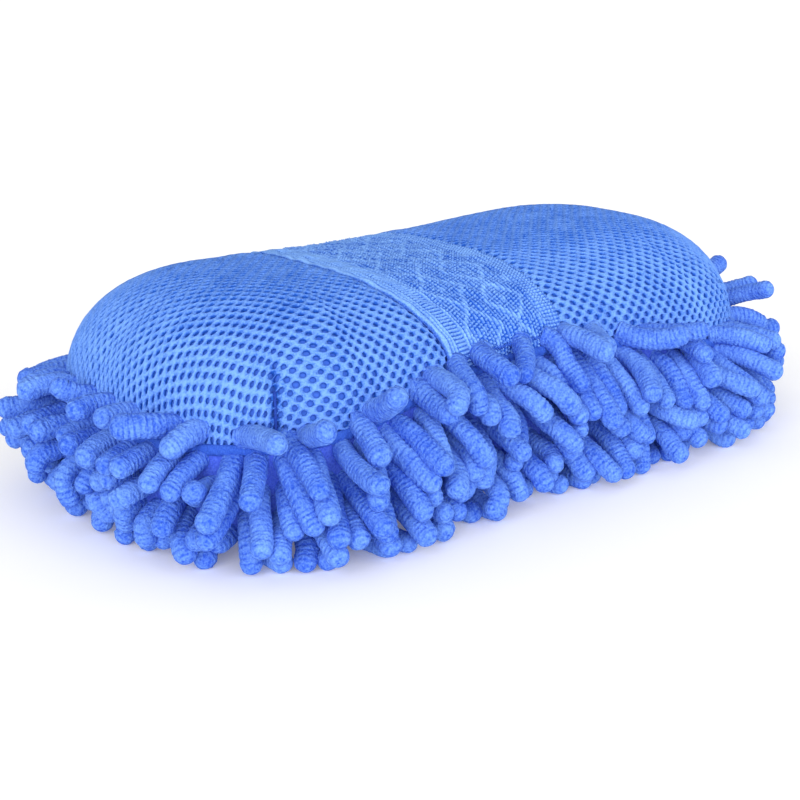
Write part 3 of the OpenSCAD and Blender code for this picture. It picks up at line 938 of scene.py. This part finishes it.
def close_pairs(points, chain):
    """Pairs of nodes of different noodles that may touch soon."""
    cell = 9 * MM
    key = np.floor(points / cell).astype(int)
    order = {}
    for n, k in enumerate(map(tuple, key)):
        order.setdefault(k, []).append(n)
    found = []
    near = list(itertools.product((-1, 0, 1), repeat=3))
    for k, members in order.items():
        around = [n for d in near for n in order.get((k[0] + d[0], k[1] + d[1], k[2] + d[2]), ())]
        a = np.repeat(members, len(around))
        b = np.tile(around, len(members))
        keep = (a < b) & (chain[a] != chain[b])
        found.append(np.stack([a[keep], b[keep]], 1))
    pairs = np.concatenate(found)
    gap = np.linalg.norm(points[pairs[:, 0]] - points[pairs[:, 1]], axis=1)
    return pairs[gap < NEARBY * NOODLE_R]


def push_apart(points, pairs, free):
    """Moves touching nodes apart by most of their overlap, less near their roots."""
    a, b = pairs[:, 0], pairs[:, 1]
    d = points[a] - points[b]
    gap = np.maximum(np.linalg.norm(d, axis=1), 1e-6)
    lack = np.maximum(APART * NOODLE_R - gap, 0)
    touching = lack > 0
    a, b, d, gap, lack = a[touching], b[touching], d[touching], gap[touching], lack[touching]
    share = 0.45 * lack / gap
    for axis in range(3):
        shift = d[:, axis] * share
        points[:, axis] += np.bincount(a, shift, len(points)) * free
        points[:, axis] -= np.bincount(b, shift, len(points)) * free


def clear_pad(at, reach):
    """Moves nodes out of the pad, and back within each noodle's own reach."""
    out, nx, ny = from_core(at)
    lack = pad_reach(at[..., 2], at[..., 0]) + NOODLE_R * OFF_PAD - out
    lack = np.where(at[..., 2] > FLOOR_Z, np.clip(lack, 0, 2 * MM), 0)
    lack[:, :2] = 0
    lack = lack - 0.25 * np.maximum(out - reach, 0)
    at[..., 0] += nx * lack
    at[..., 1] += ny * lack
    at[..., 2] = np.minimum(at[..., 2], seam_at(at[..., 0]) + PILE_TOP)


SHAFT_RINGS, TIP_RINGS, NOODLE_SIDES = 54, 8, 20
# The ribs' pitch, and the heights of ribs, lumps and fuzz as shares of a noodle's radius
RIB_PITCH = 1.4 * MM
RIB_H, LUMP_H, FUZZ_H = 0.032, 0.024, 0.024


def noodle_mesh(at, length, radius):
    """Softly ribbed tubes round the noodles' middle lines, closed with round tips."""
    count, rings = len(at), SHAFT_RINGS + TIP_RINGS
    curve = np.radians(np.linspace(0, 84, TIP_RINGS + 1))[1:]
    shaft = np.linspace(0, 1, SHAFT_RINGS)[None, :] * (length - radius)[:, None]
    s = np.concatenate([shaft, (length - radius)[:, None] + radius[:, None] * np.sin(curve)], 1)
    cap = np.concatenate([np.ones(SHAFT_RINGS), np.cos(curve)])[None, :, None]

    heading = unit(at[:, -1] - at[:, -2])
    full = np.concatenate([at, (at[:, -1] + heading * radius[:, None])[:, None]], 1)
    line = np.empty((count, rings, 3))
    for c in range(count):
        knots = np.append(np.linspace(0, length[c] - radius[c], at.shape[1]), length[c])
        for axis in range(3):
            line[c, :, axis] = catmull(s[c], knots, full[c, :, axis])
    along = unit(np.gradient(line, axis=1))
    side = np.cross(along[:, 0], np.array([0.2, 0.1, 1.0]))
    sides = np.empty_like(along)
    for r in range(rings):
        side = unit(side - along[:, r] * np.sum(side * along[:, r], axis=1, keepdims=True))
        sides[:, r] = side
    others = np.cross(along, sides)

    phase = rng.uniform(0, 2 * math.pi, (8, count, 1, 1))
    turn = np.linspace(0, 2 * math.pi, NOODLE_SIDES, endpoint=False)[None, None, :]
    far = s[..., None]

    def wave(n, times, reach):
        """A wave that runs so many times round a noodle and on along it, each noodle's own."""
        return np.sin(times * turn + far / reach + phase[n])

    # The ribs are narrow grooves across the noodle, which drift and tilt a little
    drift = 0.9 * wave(0, 0, 3.7 * MM) + 0.7 * wave(1, 0, 1.9 * MM)
    tilt = 0.9 * wave(2, 1, 7 * MM) + 0.5 * wave(3, 2, math.inf)
    groove = 0.5 - 0.5 * np.cos(2 * math.pi * far / RIB_PITCH + drift + tilt)
    rib = (1 - 2 * groove**3) * (0.7 + 0.3 * wave(4, 2, 2.7 * MM))
    lumps = 0.5 * (wave(5, 2, 3.3 * MM) + wave(6, 3, -2.1 * MM))
    swell = 1 + 0.035 * wave(7, 0, 5 * MM)
    fuzz = rng.standard_normal((count, rings, NOODLE_SIDES))
    relief = swell + RIB_H * rib + LUMP_H * lumps + FUZZ_H * fuzz
    r = radius[:, None, None] * relief * cap
    points = line[:, :, None, :] + sides[:, :, None, :] * (np.cos(turn) * r)[..., None]
    points = points + others[:, :, None, :] * (np.sin(turn) * r)[..., None]
    points[..., 2] = np.maximum(points[..., 2], 0.0)
    shade = rng.uniform(-0.16, 0.16, (count, 1, 1))
    # Painted shade: the ribs' grooves, the hollows between lumps and the sunk fuzz are drawn
    # darker; each noodle also gets its own random tone
    lift = np.clip(0.42 + 0.26 * rib + 0.1 * lumps + 0.1 * fuzz + shade, 0, 1)
    quads = grid_faces(rings, NOODLE_SIDES, closed=True)
    k = np.arange(1, NOODLE_SIDES - 1)
    root_cap = np.stack([0 * k, k + 1, k], 1)
    tip_cap = root_cap[:, ::-1] + (rings - 1) * NOODLE_SIDES
    one = np.concatenate([halved(quads), root_cap, tip_cap])
    faces = (one[None] + np.arange(count)[:, None, None] * rings * NOODLE_SIDES).reshape(-1, 3)
    return points.reshape(-1, 3), faces, lift.ravel()


def catmull(t, knots, values):
    """A smooth curve through values at knots."""
    slope = np.gradient(values, knots)
    k = np.clip(np.searchsorted(knots, t, "right") - 1, 0, len(knots) - 2)
    h = knots[k + 1] - knots[k]
    f = (t - knots[k]) / h
    start = (2 * f**3 - 3 * f**2 + 1) * values[k] + (f**3 - 2 * f**2 + f) * h * slope[k]
    return start + (-2 * f**3 + 3 * f**2) * values[k + 1] + (f**3 - f**2) * h * slope[k + 1]


def add_noodles(band, side, at, length, radius):
    """The noodles of one band and side, as one piece that stands for the CAD node of that row."""
    points, faces, lift = noodle_mesh(at, length, radius)
    name = f"pile_{band}_{side}"
    piece = add_mesh(name, points, faces, chenille, "mitt", "chenille", lift=lift)
    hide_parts(f"{band}_pile_{side}")


def build_pile():
    """The noodles that hang round the wall, as one piece for each band of each side."""
    q, tier, root, direction, length, reach = start_pile()
    at = settle(root, direction, length, reach)
    radius = NOODLE_R * (1 + 0.04 * rng.standard_normal(len(at)))
    side_half = CORE_X + CORNER_ARC / 2
    turned = (q + side_half) % ROUND
    sides = ["front", "right", "back", "left"]
    ends = np.cumsum([2 * side_half, ROUND / 2 - 2 * side_half] * 2)
    which = np.searchsorted(ends, turned, "right") % 4
    for name, tiers in (("upper", [0, 1]), ("middle", [2]), ("lower", [3, 4])):
        for n, side in enumerate(sides):
            chosen = np.isin(tier, tiers) & (which == n)
            add_noodles(name, side, at[chosen], length[chosen], radius[chosen])


UNDER_PITCH, UNDER_IN, UNDER_SHORTEST = 5.9 * MM, 12 * MM, 10 * MM


def build_under_pile():
    """Noodles that lie flat under the pad, in three rows across it."""
    inner_r = CORNER_R - UNDER_IN
    width = 2 * (CORE_Y + inner_r) / 3
    for row, name in enumerate(("front", "middle", "back")):
        chains, lengths = [], []
        for x in np.arange(-CORE_X - inner_r + UNDER_PITCH, CORE_X + inner_r, UNDER_PITCH):
            over = max(abs(x) - CORE_X, 0)
            edge = CORE_Y + math.sqrt(max(inner_r**2 - over**2, 0))
            low = max((row - 1.5) * width, -edge)
            high = min((row - 0.5) * width, edge)
            if high - low < UNDER_SHORTEST:
                continue
            y = np.linspace(low + 0.5 * MM, high - NOODLE_R, NODES)
            bow = rng.uniform(-0.7, 0.7) * MM * np.sin(np.linspace(0, math.pi, NODES))
            lean = rng.uniform(-0.3, 0.3) * MM * np.linspace(-1, 1, NODES)
            chains.append(np.stack([x + bow + lean, y, np.full(NODES, NOODLE_R)], 1))
            lengths.append(high - low)
        radius = np.full(len(chains), NOODLE_R)
        add_noodles("under", name, np.array(chains), np.array(lengths), radius)


# ---- Stage ----


def build_stage():
    """A wide, plain, almost white floor."""
    size = 30.0
    corners = np.array([[-size, -size, 0], [size, -size, 0], [size, size, 0], [-size, size, 0]])
    material, tree, shader, add = nodes_of("stage")
    place = add("ShaderNodeTexCoord").outputs["Object"]
    grain = add("ShaderNodeTexNoise", {"Vector": place, "Scale": 3.0})
    white = ramp(add, grain.outputs["Fac"], [(0.0, (0.98, 0.98, 0.98)), (1.0, (0.99, 0.99, 0.99))])
    tree.links.new(white, shader.inputs["Base Color"])
    shader.inputs["Roughness"].default_value = 0.9
    shader.inputs["Specular IOR Level"].default_value = 0.0
    shader.inputs["Emission Color"].default_value = (1, 1, 1, 1)
    shader.inputs["Emission Strength"].default_value = 0.12
    mesh = bpy.data.meshes.new("floor")
    mesh.from_pydata(corners.tolist(), [], [(0, 1, 2, 3)])
    mesh.materials.append(material)
    floor = bpy.data.objects.new("floor", mesh)
    bpy.context.scene.collection.objects.link(floor)


def add_sun(name, azimuth, elevation, strength, spread, colour):
    """A wide soft light; azimuth 0 is in front of the mitt and 90 at its left end."""
    data = bpy.data.lights.new(name, "SUN")
    data.energy = strength
    data.angle = math.radians(spread)
    data.color = colour
    light = bpy.data.objects.new(name, data)
    a, e = math.radians(azimuth), math.radians(elevation)
    toward = Vector((-math.sin(a) * math.cos(e), -math.cos(a) * math.cos(e), math.sin(e)))
    light.rotation_euler = toward.to_track_quat("Z", "Y").to_euler()
    bpy.context.scene.collection.objects.link(light)


def build_lights():
    """An even pale surround with two wide lights: the key on the left and the fill in front."""
    world = bpy.data.worlds.new("studio")
    world.use_nodes = True
    back = world.node_tree.nodes["Background"]
    back.inputs["Color"].default_value = (1, 1, 1, 1)
    back.inputs["Strength"].default_value = 0.6
    bpy.context.scene.world = world
    add_sun("key", 57, 19, 2.25, 45, (1.0, 0.98, 0.96))
    add_sun("fill", 2, 14, 1.8, 60, (0.97, 0.98, 1.0))
    bpy.context.scene.view_settings.view_transform = "Standard"


def build_camera():
    """The main viewpoint: in front of the mitt's left end, looking down a little."""
    data = bpy.data.cameras.new("camera")
    data.sensor_width, data.lens = 36, 71.05
    camera = bpy.data.objects.new("camera", data)
    bpy.context.scene.collection.objects.link(camera)
    place = Vector((-0.3047, -0.3454, 0.1577))
    aim = Vector((-0.0073, 0.0012, 0.0158))
    camera.location = place
    camera.rotation_euler = (place - aim).to_track_quat("Z", "Y").to_euler()
    bpy.context.scene.camera = camera


build_camera()
build_lights()
build_stage()
build_pad()
build_cover()
build_hem()
build_darts()
build_tacks(build_strap())
build_pile()
build_under_pile()
